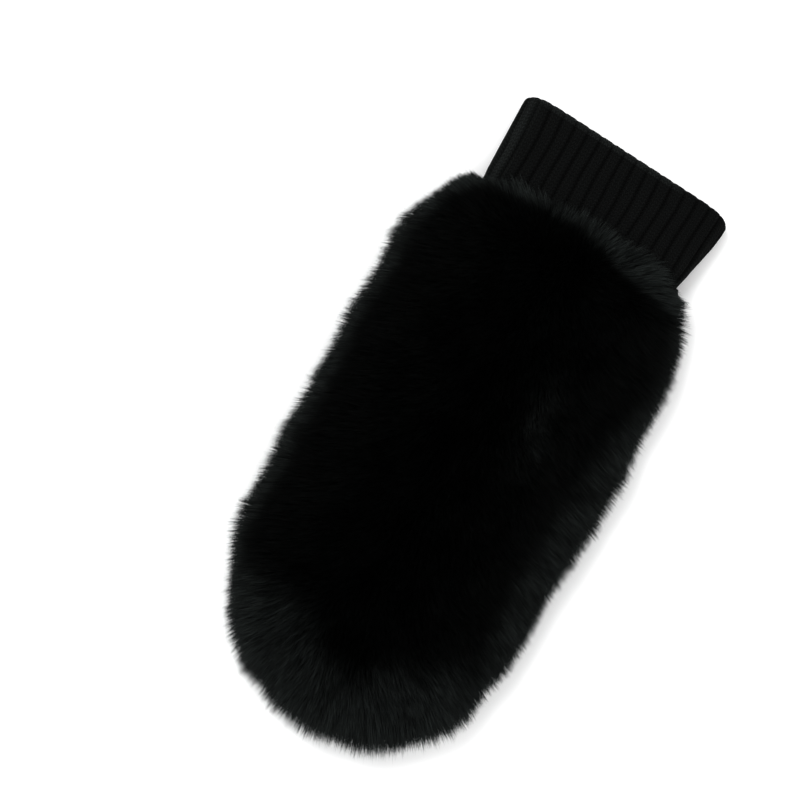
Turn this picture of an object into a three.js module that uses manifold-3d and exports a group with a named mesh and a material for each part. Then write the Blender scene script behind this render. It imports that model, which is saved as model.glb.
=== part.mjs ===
// A left-hand mitten lying palm down: a deep fur back, a knitted palm, a thumb folded under the palm and
// a ribbed cuff. Millimetres, +Z up, fingertips towards -Y, cuff towards +Y, thumb on the -X side.
// The origin is on the surface it rests on, under the middle of its bounding box.
import * as THREE from "three";
import { mergeVertices } from "three/addons/utils/BufferGeometryUtils.js";
import Module from "manifold-3d";

const wasm = await Module();
wasm.setup();

const CLEARANCE = 0.35; // between neighbouring pieces
const KNIT_WALL = 1.8; // plain knitted cloth
const RIB_WALL = 2.6; // ribbed cloth, crest to inner face

// Plan of the hide, seen from above: its left and right edge at each height along the hand.
const SEAM_Y = 97; // where the cuff is sewn on
const TIP = { x: 1.5, y: -119.4 };
const HIDE_PLAN = [
  { y: 97, left: -45.5, right: 45.5 },
  { y: 86, left: -50, right: 47 },
  { y: 66, left: -52.5, right: 50 },
  { y: 36, left: -53, right: 51 },
  { y: 2, left: -53, right: 51.5 },
  { y: -28, left: -53, right: 49.5 },
  { y: -58, left: -52.5, right: 49.5 },
  { y: -78, left: -50, right: 46.5 },
  { y: -93, left: -45.5, right: 43.5 },
  { y: -104.5, left: -37, right: 36 },
  { y: -113.5, left: -23.5, right: 24 },
];
const STATIONS = 42; // sections from the cuff seam to the fingertips
const CROWDING = 0.024; // how far the sections near both ends are drawn towards them, of the whole length
const SPINE = { x: 0.5, bendsFromY: -60, tipShare: 0.44 }; // the ridge line that the sections meet on

// Half-sections of the body, from the rim at the palm seam up to the spine: the hide's inner face, its
// outer face, 1.6 mm further out, and the tips of the hair that grows from it. Out is the distance from
// the spine where the hide is 51 wide, and up is the height.
const HALF_WIDTH = 51;
const HIDE_INNER = [
  { out: 49, up: 3.6 },
  { out: 50.6, up: 7 },
  { out: 50.6, up: 11.5 },
  { out: 46.4, up: 15.6 },
  { out: 34, up: 18.2 },
  { out: 17, up: 19.4 },
  { out: 0, up: 19.8 },
];
const HAIR_ROOTS = [
  { out: 50.6, up: 3.4 },
  { out: 52.3, up: 6 },
  { out: 52.4, up: 12 },
  { out: 47.6, up: 17 },
  { out: 34.6, up: 19.8 },
  { out: 17, up: 21 },
  { out: 0, up: 21.4 },
];
const HAIR_TIPS = [
  { out: 50.6, up: 3.4 },
  { out: 54.6, up: 0.7 },
  { out: 58.6, up: 0.7 },
  { out: 61.9, up: 5 },
  { out: 62.5, up: 12 },
  { out: 60.6, up: 20 },
  { out: 55, up: 27 },
  { out: 44, up: 32 },
  { out: 28, up: 35 },
  { out: 12, up: 36.4 },
  { out: 0, up: 36.8 },
];

// The fur's locks
const LOCK_COLUMNS = 19; // round the section, rim to spine
const INNER_COLUMNS = 7;
const LOCK_VALLEY = 0.72; // how far out the hollows between locks lie, hide to hair tips
const SHOULDER = { fromY: 70, share: 0.45 }; // the side hair is shorter towards the cuff
const SAG = 0.85; // how far the lowest hair hangs back down where the thumb lifts the hand
const LOCK_LEAN = 4; // the pile lies towards the fingertips
const LOCK_SCATTER = 2.2;
const LOCK_ROOM = 5; // locks closer together than this are lower
const FLOOR_UP = 0.25; // the lowest hair
// Fur over the cuff, which it overhangs less at the two corners
const COLLAR = { overhang: 8.5, cornerShare: 0.3, reach: 26, lip: 4.5, clearOfCuff: 2.6, fromColumn: 1 };

// Where the whole hand is lower or higher than its section says
const CUFF_END_HEIGHT = 0.86; // of the full height, at the cuff seam
const BACK_LIFT = { share: 0.45, wider: 20 }; // the back rises less than the palm over the thumb, and softer
const FOLDS = [
  { x: 38, y: 16, halfWidth: 7, halfLength: 34, rise: -3.6 }, // crease beside the knuckles
  { x: 27, y: 20, halfWidth: 6, halfLength: 26, rise: 1.8 }, // ridge that the crease throws up
  { x: -20, y: -20, halfWidth: 16, halfLength: 46, rise: 1.2 },
  { x: 12, y: -62, halfWidth: 22, halfLength: 22, rise: -1.6 },
];

// Thumb: a flattened tube under the palm, open upwards into the hand at its root
const THUMB_X = -33.2;
const THUMB_HEIGHT = 9;
const THUMB = [
  { y: 62, halfWidth: 4, height: 6.4 },
  { y: 56, halfWidth: 7.6, height: 7.6 },
  { y: 46, halfWidth: 11.4, height: 8.6 },
  { y: 34, halfWidth: 14, height: THUMB_HEIGHT },
  { y: 20, halfWidth: 15.4, height: THUMB_HEIGHT },
  { y: 4, halfWidth: 15.8, height: THUMB_HEIGHT },
  { y: -14, halfWidth: 15.6, height: THUMB_HEIGHT },
  { y: -28, halfWidth: 14.6, height: THUMB_HEIGHT },
  { y: -36, halfWidth: 12.8, height: 8.8 },
  { y: -41.5, halfWidth: 10.2, height: 8.4 },
  { y: -45, halfWidth: 7, height: 7.8 },
  { y: -47, halfWidth: 3, height: 6.8 },
];
const THUMB_SIDES = 20;
const THUMB_SQUARENESS = 3.6; // exponent of its section, 2 is an ellipse
const THUMB_MOUTH = { y: 22, halfWidth: 10.5, halfLength: 17, sides: 24 };
const PALM_LIFT = { full: THUMB_HEIGHT + CLEARANCE, fromX: -2, toX: -17, tipY: [-63, -47], cuffY: [86, 58] };

// Palm
const PALM_EDGE = 48.6; // out, as in the half-sections
const PALM_EDGE_UP = 3.6;
const PALM_EDGE_ROLL = 11; // the edge turns up over this width
const PALM_COLUMNS = 32;
const PALM_ROWS_EVERY = 2; // stations
const PALM_RIB = { depth: 1.2, fromX: -12, toX: 42, fromY: -34, fade: 8 };

// Cuff
const CUFF_END_Y = 137.2;
const CUFF = [
  { y: SEAM_Y + CLEARANCE, x: 0.6, halfWidth: 45.8, height: 17.6 },
  { y: 104, x: 1.2, halfWidth: 46.9, height: 16.6 },
  { y: 114, x: 2.1, halfWidth: 47.9, height: 14.6 },
  { y: 125, x: 2.9, halfWidth: 48.8, height: 13.2 },
  { y: 133, x: 3.3, halfWidth: 49.3, height: 12.6 },
  { y: CUFF_END_Y, x: 3.4, halfWidth: 49.4, height: 12.4 },
];
const RIBS = 36;
const RIB_DEPTH = 1.3;
const RIB_STEPS = [0, 0, 1, 1]; // share of the depth at steps round each rib, outside
const RIB_STEPS_INSIDE = [0, 0.7];
const CUFF_CORNER = { drop: 3.4, fromY: 104, power: 12 }; // the mouth's corners are rounded back
const CUFF_SLANT = 0.07; // the mouth reaches further up on the thumb side, by this share of the width
const GROOVE_SHORTER = 0.7; // the grooves end short of the crests at the mouth

const COLOURS = { fur: 0x060606, knit: 0x0c0c0d };

const lerp = THREE.MathUtils.lerp;
const clamp01 = (t) => Math.min(1, Math.max(0, t));
const ease = (from, to, t) => {
  const s = clamp01((t - from) / (to - from));
  return s * s * (3 - 2 * s);
};
// A number from 0 to 1 that looks random but is the same each time.
const scatter = (a, b) => {
  const s = Math.sin(a * 12.9898 + b * 78.233) * 43758.5453;
  return s - Math.floor(s);
};

// Height that the thumb underneath lifts the hand by at a place in plan. Its slopes begin wider out.
function lift(x, y, wider = 0) {
  const across = ease(PALM_LIFT.fromX, PALM_LIFT.toX, x);
  const fromTip = ease(PALM_LIFT.tipY[0] - wider, PALM_LIFT.tipY[1], y);
  const fromCuff = ease(PALM_LIFT.cuffY[0] + wider / 2, PALM_LIFT.cuffY[1], y);
  return PALM_LIFT.full * across * fromTip * fromCuff;
}

function foldRise(x, y) {
  return FOLDS.reduce((sum, f) => {
    const across = (x - f.x) / f.halfWidth;
    const along = (y - f.y) / f.halfLength;
    return sum + f.rise * Math.exp(-across * across - along ** 4);
  }, 0);
}

// One side of the hide's plan as a curve from the cuff seam to the fingertips.
function sideCurve(side) {
  const points = HIDE_PLAN.map((row) => new THREE.Vector3(row[side], row.y, 0));
  points.push(new THREE.Vector3(TIP.x, TIP.y, 0));
  // The curve runs on past the tip, so that it leaves the tip square to the hand.
  const other = side === "left" ? "right" : "left";
  const past = HIDE_PLAN.at(-1);
  points.push(new THREE.Vector3(past[other], past.y, 0));
  const curve = new THREE.CatmullRomCurve3(points, false, "centripetal");
  const atTip = (points.length - 2) / (points.length - 1);
  return (t) => curve.getPoint(t * atTip);
}

// Sections of the body: for each station the edge of the hide, its outward direction and its spine point.
function makeStations(side) {
  const curve = sideCurve(side);
  const fine = Array.from({ length: 601 }, (_, i) => curve(i / 600));
  const along = [0];
  fine.slice(1).forEach((p, i) => along.push(along[i] + p.distanceTo(fine[i])));
  const total = along.at(-1);
  const at = (length) => {
    const i = Math.max(1, along.findIndex((a) => a >= Math.min(length, total)));
    return fine[i - 1].clone().lerp(fine[i], (length - along[i - 1]) / (along[i] - along[i - 1]));
  };
  return Array.from({ length: STATIONS + 1 }, (_, i) => {
    const t = i / STATIONS;
    const length = total * (t + CROWDING * Math.sin(2 * Math.PI * (t - 0.5)));
    // Both sides share the last station, at the tip.
    if (i === STATIONS) {
      return { edge: new THREE.Vector3(TIP.x, TIP.y, 0), outward: new THREE.Vector3(0, -1, 0) };
    }
    const edge = i === 0 ? fine[0].clone() : at(length);
    const run = at(Math.min(total, length + 1.5)).sub(at(Math.max(0.01, length - 1.5))).normalize();
    const sign = side === "left" ? 1 : -1;
    return { edge, outward: new THREE.Vector3(sign * run.y, -sign * run.x, 0) };
  });
}

const leftStations = makeStations("left");
const rightStations = makeStations("right");

// The spine point that a station's two halves share.
function spineOf(i) {
  const y = (leftStations[i].edge.y + rightStations[i].edge.y) / 2;
  const past = Math.max(0, (SPINE.bendsFromY - y) / (SPINE.bendsFromY - TIP.y));
  const reach = SPINE.bendsFromY - TIP.y;
  const spineY = y > SPINE.bendsFromY ? y : SPINE.bendsFromY - reach * (past - SPINE.tipShare * past * past);
  return new THREE.Vector3(SPINE.x, spineY, 0);
}
const spines = leftStations.map((_, i) => spineOf(i));

// A place in plan, out from the spine at a station.
function planPoint(side, i, out) {
  const { edge, outward } = (side === "left" ? leftStations : rightStations)[i];
  if (out <= HALF_WIDTH) return spines[i].clone().lerp(edge, out / HALF_WIDTH);
  return edge.clone().addScaledVector(outward, out - HALF_WIDTH);
}

// A point of the body's surface: a half-section's point set out at a station, lifted by the thumb.
function bodyPoint(side, i, { out, up }, sag = 0) {
  const p = planPoint(side, i, out);
  const height = lerp(1, CUFF_END_HEIGHT, ease(52, SEAM_Y, spines[i].y));
  const high = ease(4, 16, up);
  const upper = ease(PALM_EDGE_UP, 18, up);
  const lifted = lift(p.x, p.y, BACK_LIFT.wider * upper) * lerp(1, BACK_LIFT.share, upper) * (1 - sag);
  p.z = up * lerp(1, height, high) + lifted + foldRise(p.x, p.y) * high;
  return p;
}

// A half-section with a given number of steps, evenly spaced.
function spaced(profile, steps) {
  const curve = new THREE.CatmullRomCurve3(
    profile.map((p) => new THREE.Vector3(p.out, p.up, 0)),
    false,
    "centripetal",
  );
  curve.arcLengthDivisions = 400;
  return curve.getSpacedPoints(steps).map((p) => ({ out: Math.max(0, p.x), up: p.y }));
}

class Skin {
  constructor() {
    this.corners = [];
  }

  triangle(a, b, c) {
    const shortest = Math.min(a.distanceTo(b), b.distanceTo(c), c.distanceTo(a));
    if (shortest > 1e-4) this.corners.push(...a.toArray(), ...b.toArray(), ...c.toArray());
  }

  // Fills between two lines of points that run side by side. The cross edges avoid lock tips.
  strip(a, b) {
    let i = 0;
    let j = 0;
    while (i < a.length - 1 || j < b.length - 1) {
      const nextA = (i + 1) / (a.length - 1);
      const nextB = (j + 1) / (b.length - 1);
      const level = Math.abs(nextA - nextB) < 1e-9;
      const stepA = level ? !(a[i + 1].isTip || b[j].isTip) : nextA < nextB;
      if (j === b.length - 1 || (i < a.length - 1 && stepA)) {
        this.triangle(a[i], b[j], a[i + 1]);
        i += 1;
      } else {
        this.triangle(a[i], b[j], b[j + 1]);
        j += 1;
      }
    }
  }

  strips(lines) {
    lines.slice(1).forEach((line, i) => this.strip(lines[i], line));
  }

  geometry() {
    const g = new THREE.BufferGeometry();
    g.setAttribute("position", new THREE.Float32BufferAttribute(this.corners, 3));
    return outwards(mergeVertices(g, 1e-4));
  }
}

// Turns a closed geometry's faces outwards.
function outwards(geometry) {
  const p = geometry.getAttribute("position");
  const index = geometry.index.array;
  const [a, b, c] = [new THREE.Vector3(), new THREE.Vector3(), new THREE.Vector3()];
  let volume = 0;
  for (let i = 0; i < index.length; i += 3) {
    a.fromBufferAttribute(p, index[i]);
    b.fromBufferAttribute(p, index[i + 1]);
    c.fromBufferAttribute(p, index[i + 2]);
    volume += a.dot(b.cross(c));
  }
  if (volume < 0) {
    for (let i = 0; i < index.length; i += 3) [index[i + 1], index[i + 2]] = [index[i + 2], index[i + 1]];
  }
  return geometry;
}

function toManifold(geometry) {
  const plain = geometry.clone();
  plain.deleteAttribute("normal");
  plain.deleteAttribute("uv");
  const merged = mergeVertices(plain, 1e-4);
  return new wasm.Manifold(
    new wasm.Mesh({
      numProp: 3,
      vertProperties: merged.attributes.position.array,
      triVerts: new Uint32Array(merged.index.array),
    }),
  );
}

function toGeometry(manifold) {
  const { vertProperties, triVerts } = manifold.getMesh();
  const g = new THREE.BufferGeometry();
  g.setAttribute("position", new THREE.BufferAttribute(vertProperties, 3));
  g.setIndex(new THREE.BufferAttribute(triVerts, 1));
  return g;
}

// Fur back: the hide with the pile's outer form in tapered locks.
function furLine(side, i) {
  const roots = spaced(HAIR_ROOTS, LOCK_COLUMNS);
  const tips = spaced(HAIR_TIPS, LOCK_COLUMNS);
  const end = ease(SEAM_Y - COLLAR.reach, SEAM_Y, spines[i].y);
  const sideShare = lerp(1, SHOULDER.share, ease(SHOULDER.fromY, SEAM_Y, spines[i].y));
  return tips.map((tip, k) => {
    const low = 1 - ease(3, 14, tip.up);
    const hide = bodyPoint(side, i, roots[k]);
    if (k === 0) return hide;
    const out = tip.out > HALF_WIDTH ? HALF_WIDTH + (tip.out - HALF_WIDTH) * sideShare : tip.out;
    const hair = bodyPoint(side, i, { out, up: tip.up }, SAG * low);
    const overhang = COLLAR.overhang * lerp(1, COLLAR.cornerShare, ease(38, 56, tip.out));
    hair.y += overhang * end * ease(COLLAR.fromColumn, COLLAR.fromColumn + 3, k);
    const isTip = (i + k) % 2 === 1;
    const neighbour = i < STATIONS ? i + 1 : i - 1;
    const room = planPoint(side, i, tip.out).distanceTo(planPoint(side, neighbour, tip.out));
    const valley = lerp(1, LOCK_VALLEY, clamp01(room / LOCK_ROOM));
    const reach = isTip ? 1 + 0.05 * (scatter(i, k) - 0.5) : valley + 0.06 * (scatter(k, i) - 0.5);
    const p = hide.clone().lerp(hair, reach);
    if (isTip) {
      const seed = side === "left" && k < LOCK_COLUMNS && i < STATIONS ? 41 : 0;
      const loose = Math.min(LOCK_SCATTER, 0.5 * room);
      p.y -= Math.min(LOCK_LEAN, room) * (1 - 1.5 * end) * (1 - low);
      p.x += loose * (scatter(i + seed, k) - 0.5);
      p.y += loose * (scatter(k, i + seed) - 0.5);
    }
    p.z = Math.max(p.z, FLOOR_UP);
    p.isTip = isTip;
    return p;
  });
}

function makeFurBack() {
  const inner = spaced(HIDE_INNER, INNER_COLUMNS);
  const skin = new Skin();
  const furLines = [];
  const hideLines = [];
  const addStation = (side, i) => {
    furLines.push(furLine(side, i));
    hideLines.push(inner.map((p) => bodyPoint(side, i, p)));
  };
  for (let i = 0; i <= STATIONS; i += 1) addStation("left", i);
  for (let i = STATIONS - 1; i >= 0; i -= 1) addStation("right", i);
  skin.strips(furLines);
  skin.strips(hideLines.map((line) => [...line].reverse()));
  // The rim that the palm is sewn to
  const rim = (a, b) => {
    skin.strip([hideLines[a][0], furLines[a][0]], [hideLines[b][0], furLines[b][0]]);
  };
  for (let i = 1; i < furLines.length; i += 1) rim(i - 1, i);
  // The collar: fur standing over the cuff, hollow beneath so that the cuff passes under it
  const roots = spaced(HAIR_ROOTS, LOCK_COLUMNS);
  for (const [side, end] of [["left", 0], ["right", furLines.length - 1]]) {
    const under = (y) =>
      roots.map((p, k) => {
        if (k === 0) return furLines[end][0];
        const clear = COLLAR.clearOfCuff;
        const q = bodyPoint(side, 0, { out: p.out + clear * ease(0, 46, p.out), up: p.up + clear });
        q.y = k > COLLAR.fromColumn ? y : SEAM_Y;
        return q;
      });
    const lines = [furLines[end], under(SEAM_Y + COLLAR.lip), under(SEAM_Y), hideLines[end]];
    skin.strips(end === 0 ? lines.reverse() : lines);
  }
  return skin.geometry();
}

// Palm: a sheet of knit whose edge turns up to the hide's rim, ribbed from the cuff to mid palm.
function palmUp(x, y, fromEdge, ribbed) {
  const roll = 1 - ease(0, PALM_EDGE_ROLL, fromEdge);
  const zone =
    ease(PALM_RIB.fromY, PALM_RIB.fromY + PALM_RIB.fade, y) *
    ease(PALM_RIB.fromX - 3, PALM_RIB.fromX, x) *
    ease(PALM_RIB.toX, PALM_RIB.toX - 3, x);
  return PALM_EDGE_UP * roll * roll + PALM_RIB.depth * zone * ribbed + lift(x, y);
}

function makePalm() {
  const skin = new Skin();
  const under = [];
  const over = [];
  for (let i = 0; i <= STATIONS; i += PALM_ROWS_EVERY) {
    const left = planPoint("left", i, PALM_EDGE);
    const right = planPoint("right", i, PALM_EDGE);
    const width = right.distanceTo(left);
    const line = Array.from({ length: PALM_COLUMNS + 1 }, (_, k) => {
      const p = left.clone().lerp(right, k / PALM_COLUMNS);
      const fromEdge = Math.min(k, PALM_COLUMNS - k) * (width / PALM_COLUMNS);
      const fromTip = p.y - TIP.y;
      p.z = palmUp(p.x, p.y, Math.min(fromEdge, fromTip * 0.7), k % 2);
      return p;
    });
    under.push(line);
    over.push(line.map((p) => p.clone().setZ(p.z + KNIT_WALL)));
  }
  skin.strips(under);
  skin.strips(over.map((line) => [...line].reverse()));
  const sides = (k) => {
    const walls = under.map((line, i) => [line.at(k), over[i].at(k)]);
    skin.strips(k === 0 ? walls.map((w) => w.reverse()) : walls);
  };
  sides(0);
  sides(-1);
  skin.strip(over[0], under[0]);
  return skin.geometry();
}

// Thumb: a ring of a rounded section for each row of the table, closed flat at each end.
function thumbSolid(wall) {
  const rootY = THUMB[0].y;
  const tipY = THUMB.at(-1).y;
  const square = (v) => Math.sign(v) * Math.abs(v) ** (2 / THUMB_SQUARENESS);
  const rings = THUMB.map(({ y, halfWidth, height }) => {
    const ringY = lerp(rootY - wall, tipY + wall, (y - rootY) / (tipY - rootY));
    const rx = Math.max(1, halfWidth - wall);
    const rz = height / 2 - wall;
    return Array.from({ length: THUMB_SIDES + 1 }, (_, k) => {
      const a = (2 * Math.PI * (k % THUMB_SIDES)) / THUMB_SIDES;
      const x = THUMB_X + rx * square(Math.cos(a));
      return new THREE.Vector3(x, ringY, height / 2 + rz * square(Math.sin(a)));
    });
  });
  const cap = (ring) => {
    const middle = ring[0].clone().setX(THUMB_X);
    return ring.map(() => middle);
  };
  const skin = new Skin();
  skin.strips([cap(rings[0]), ...rings, cap(rings.at(-1))]);
  return toManifold(skin.geometry());
}

// An upright oval post through the palm and the thumb's upper wall, where the thumb opens into the hand.
function mouthCutter() {
  const { y, halfWidth, halfLength, sides } = THUMB_MOUTH;
  const oval = new THREE.Shape();
  oval.absellipse(THUMB_X, y, halfWidth, halfLength, 0, 2 * Math.PI);
  const post = new THREE.ExtrudeGeometry(oval, { depth: 14, bevelEnabled: false, curveSegments: sides });
  return toManifold(outwards(mergeVertices(stripped(post), 1e-4)).translate(0, 0, THUMB_HEIGHT / 2));
}

function stripped(geometry) {
  geometry.deleteAttribute("normal");
  geometry.deleteAttribute("uv");
  return geometry;
}

// Cuff: a flattened ribbed tube. Its section is a ring of arcs and lines with evenly spaced ribs.
function cuffRing({ y, x: middle, halfWidth, height }, wall, steps) {
  const r = height / 2;
  const flat = halfWidth - r;
  const path = new THREE.Path();
  path.moveTo(-flat, 0);
  path.lineTo(flat, 0);
  path.absarc(flat, r, r, -Math.PI / 2, Math.PI / 2, false);
  path.lineTo(-flat, height);
  path.absarc(-flat, r, r, Math.PI / 2, (3 * Math.PI) / 2, false);
  const count = RIBS * steps.length;
  const points = path.getSpacedPoints(count).slice(0, count);
  const ring = points.map((p, k) => {
    const run = points[(k + 1) % count].clone().sub(points[(k + count - 1) % count]).normalize();
    const groove = steps[k % steps.length];
    const depth = wall + RIB_DEPTH * groove;
    const across = p.x - run.y * depth;
    const z = p.y + run.x * depth;
    const corner = CUFF_CORNER.drop * Math.abs(across / halfWidth) ** CUFF_CORNER.power;
    const further = ease(CUFF_CORNER.fromY, CUFF_END_Y, y) * (-CUFF_SLANT * across - corner);
    const atMouth = y === CUFF_END_Y ? GROOVE_SHORTER * groove : 0;
    return new THREE.Vector3(middle + across, y + further - atMouth, z);
  });
  ring.push(ring[0].clone());
  return ring;
}

function makeCuff() {
  const skin = new Skin();
  const outer = CUFF.map((row) => cuffRing(row, 0, RIB_STEPS));
  const inner = CUFF.map((row) => cuffRing(row, RIB_WALL, RIB_STEPS_INSIDE));
  skin.strips([...outer, ...inner.reverse(), outer[0]]);
  return skin.geometry();
}

function makeMesh(name, geometry, colour, roughness) {
  const mesh = new THREE.Mesh(
    geometry,
    new THREE.MeshStandardMaterial({ color: colour, roughness, metalness: 0 }),
  );
  mesh.name = name;
  return mesh;
}

const mouth = mouthCutter();
const palm = toGeometry(toManifold(makePalm()).subtract(mouth));
const thumb = toGeometry(thumbSolid(0).subtract(thumbSolid(KNIT_WALL)).subtract(mouth));

const mitten = new THREE.Group();
mitten.add(makeMesh("fur_back", makeFurBack(), COLOURS.fur, 0.9));
mitten.add(makeMesh("palm", palm, COLOURS.knit, 0.95));
mitten.add(makeMesh("thumb", thumb, COLOURS.knit, 0.95));
mitten.add(makeMesh("cuff", makeCuff(), COLOURS.knit, 0.95));

// Sets the origin under the middle of the bounding box.
const box = new THREE.Box3().setFromObject(mitten);
const middle = box.getCenter(new THREE.Vector3());
mitten.position.set(-middle.x, -middle.y, -box.min.z);

export default mitten;
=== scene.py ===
import math

import bmesh
import bpy
import numpy as np
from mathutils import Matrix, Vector, kdtree


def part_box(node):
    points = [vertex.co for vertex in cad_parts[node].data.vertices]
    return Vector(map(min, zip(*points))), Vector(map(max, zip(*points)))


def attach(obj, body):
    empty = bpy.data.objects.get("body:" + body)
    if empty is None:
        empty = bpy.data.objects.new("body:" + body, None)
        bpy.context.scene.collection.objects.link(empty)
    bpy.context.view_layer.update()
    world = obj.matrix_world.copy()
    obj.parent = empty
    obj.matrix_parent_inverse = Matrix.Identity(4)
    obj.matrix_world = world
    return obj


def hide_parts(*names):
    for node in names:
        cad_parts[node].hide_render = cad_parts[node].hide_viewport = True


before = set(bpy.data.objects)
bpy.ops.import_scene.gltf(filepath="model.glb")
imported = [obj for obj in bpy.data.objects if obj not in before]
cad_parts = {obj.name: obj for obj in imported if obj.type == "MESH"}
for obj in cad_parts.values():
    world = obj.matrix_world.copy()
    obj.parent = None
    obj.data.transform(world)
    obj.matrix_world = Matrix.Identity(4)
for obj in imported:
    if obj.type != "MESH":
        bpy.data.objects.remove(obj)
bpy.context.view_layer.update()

MM = 0.001

# The body's sizes, as in the solids
SEAM_Y = 97.0  # where the cuff is sewn on
TIP = (1.5, -119.4)
HIDE_PLAN = {  # the hide's edges, from the seam to the fingertips
    "y": [97, 86, 66, 36, 2, -28, -58, -78, -93, -104.5, -113.5],
    "left": [-45.5, -50, -52.5, -53, -53, -53, -52.5, -50, -45.5, -37, -23.5],
    "right": [45.5, 47, 50, 51, 51.5, 49.5, 49.5, 46.5, 43.5, 36, 24],
}
CROWDING = 0.024  # how far the stations near both ends are drawn towards them, of the whole length
SPINE_X = 0.5  # the ridge line that the sections meet on
SPINE_BENDS_Y = -60.0
SPINE_TIP_SHARE = 0.44

# Half-sections, rim to spine. Out is the distance from the spine where the hide is 51 wide, and up is
# the height.
HALF_WIDTH = 51.0
HIDE_INNER = {"out": [49, 50.6, 50.6, 46.4, 34, 17, 0], "up": [3.6, 7, 11.5, 15.6, 18.2, 19.4, 19.8]}
HAIR_ROOTS = {"out": [50.6, 52.3, 52.4, 47.6, 34.6, 17, 0], "up": [3.4, 6, 12, 17, 19.8, 21, 21.4]}
HAIR_TIPS = {
    "out": [50.6, 54.6, 58.6, 61.9, 62.5, 60.6, 55, 44, 28, 12, 0],
    "up": [3.4, 0.7, 0.7, 5, 12, 20, 27, 32, 35, 36.4, 36.8],
}
CUFF_END_HEIGHT = 0.86  # of the full height, at the cuff seam
CUFF_END_FROM_Y = 52.0
HIDE_UP = (4.0, 16.0)  # from the palm's height to the hide's
FOLDS = {  # soft ridges and hollows of the back
    "x": [38, 27, -20, 12],
    "y": [16, 20, -20, -62],
    "half_width": [7, 6, 16, 22],
    "half_length": [34, 26, 46, 22],
    "rise": [-3.6, 1.8, 1.2, -1.6],
}

# The folded thumb lifts the palm, and the back less and softer
LIFT_FULL = 9.35
LIFT_X = (-2.0, -17.0)
LIFT_TIP_Y = (-63.0, -47.0)
LIFT_CUFF_Y = (86.0, 58.0)
BACK_LIFT_SHARE = 0.45
BACK_LIFT_WIDER = 20.0
BACK_UP = 18.0

# The outer form of the fur
SHOULDER_Y = 70.0  # the side hair is shorter from here to the cuff
SHOULDER_SHARE = 0.45
SAG = 0.85  # how far the lowest hair hangs back down where the thumb lifts the hand
LOW_UP = (3.0, 14.0)  # hair below the first height lies low, hair above the second stands free
LEAN = 4.0  # towards the fingertips
LEAN_BACK = 1.5  # at the cuff seam the lean is less by this share, so it has turned round
OVERHANG = 8.5  # of the collar over the cuff
OVERHANG_FROM_RIM = (0.05, 0.21)  # it begins here up the half-section, and is full here
OVERHANG_AT_CORNERS = 0.3
CORNERS_OUT = (38.0, 56.0)
COLLAR_REACH = 26.0

KNIT_WALL = 1.8
STITCH_HEIGHT = 1.55
WALES = {"palm": 46, "thumb": 38}

PALM_EDGE = 48.6  # out, as in the half-sections
PALM_EDGE_UP = 3.6
PALM_EDGE_ROLL = 11.0  # the edge turns up over this width
PALM_RIBS = 16
PALM_RIB_DEPTH = 1.2
PALM_RIB_X = (-12.0, 42.0)
PALM_RIB_Y = -34.0
PALM_RIB_FADE = 8.0
PALM_RIB_SIDE_FADE = 3.0

# A rib across, from the middle of its two wales at 0 to the middle of the groove at 1
GROOVE = (0.52, 0.94)
BETWEEN_WALES = 0.16  # how deep the dip between the two wales is, and how wide

THUMB_X = -33.2
THUMB = {
    "y": [62, 56, 46, 34, 20, 4, -14, -28, -36, -41.5, -45, -47],
    "half_width": [4, 7.6, 11.4, 14, 15.4, 15.8, 15.6, 14.6, 12.8, 10.2, 7, 3],
    "height": [6.4, 7.6, 8.6, 9, 9, 9, 9, 9, 8.8, 8.4, 7.8, 6.8],
}
THUMB_SQUARENESS = 3.6  # exponent of its section, 2 is an ellipse
THUMB_MOUTH = {"y": 22.0, "half_width": 10.5, "half_length": 17.0, "from_z": 4.5, "height": 14.0}

CUFF_END_Y = 137.2
CUFF = {
    "y": [97.35, 104, 114, 125, 133, 137.2],
    "x": [0.6, 1.2, 2.1, 2.9, 3.3, 3.4],
    "half_width": [45.8, 46.9, 47.9, 48.8, 49.3, 49.4],
    "height": [17.6, 16.6, 14.6, 13.2, 12.6, 12.4],
}
CUFF_WALL = 2.6
CUFF_RIBS = 36
CUFF_RIB_DEPTH = 1.5
CUFF_RIB_DEPTH_INSIDE = 0.7
CUFF_TURN = 0.78  # where the ribs lie round the cuff at its mouth, in ribs
CUFF_TWIST = 0.01  # how far they turn round it for each millimetre along it, in ribs
CUFF_SHAPED_FROM_Y = 104.0  # from here to the mouth the cuff grows slanted and its corners round
CUFF_SLANT = 0.07
CUFF_CORNER_DROP = 3.4
CUFF_CORNER_POWER = 12
CUFF_WANDER = 0.05  # of the ribs, in ribs
CUFF_WANDER_LENGTH = 5.3

# The hairs. Widths are from the middle of a hair to its side, lengths are shares of the fur's depth.
GUARD_HAIRS = 190000
GUARD_WIDTH = 0.17
GUARD_LENGTH = 1.0
UNDER_HAIRS = 110000
UNDER_WIDTH = 0.3
UNDER_LENGTH = 0.84
UNDER_PALENESS = 0.6
SHORTEST = 0.16  # how much shorter a hair may be than its neighbours
WIDTHS = (0.7, 1.15)  # how narrow and wide single hairs are
BEND_AT = 0.55  # how far along a guard hair bends
BEND_LEAN = 0.1
BEND_WIDTH = 0.85
BEND_SCATTER = 0.25
STRAY = {"hand": 0.45, "fingertips": 0.8, "y": (-85, -110)}
STRAY_AT_FLOOR = 0.7
STRAY_AXES = [1, 1, 0.5]
LEAST_Z = {"tip": 0.35, "bend": 0.5}
TUFTS = 24000
TUFT_PULL = 0.62
LOOSEST_TUFT = 0.3
TUFT_SCATTER = 2.3  # how unevenly long the tufts are
SHOULDER_TUFTS = 4.5  # how much further some tufts stick out where the outer edge meets the cuff
SHOULDER_TUFTS_Y = (68, 84)
SHOULDER_TUFTS_UP = (0.7, 0.4)  # along the half-section
FELT_DEPTH = 0.5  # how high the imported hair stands, root to tip
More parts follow.
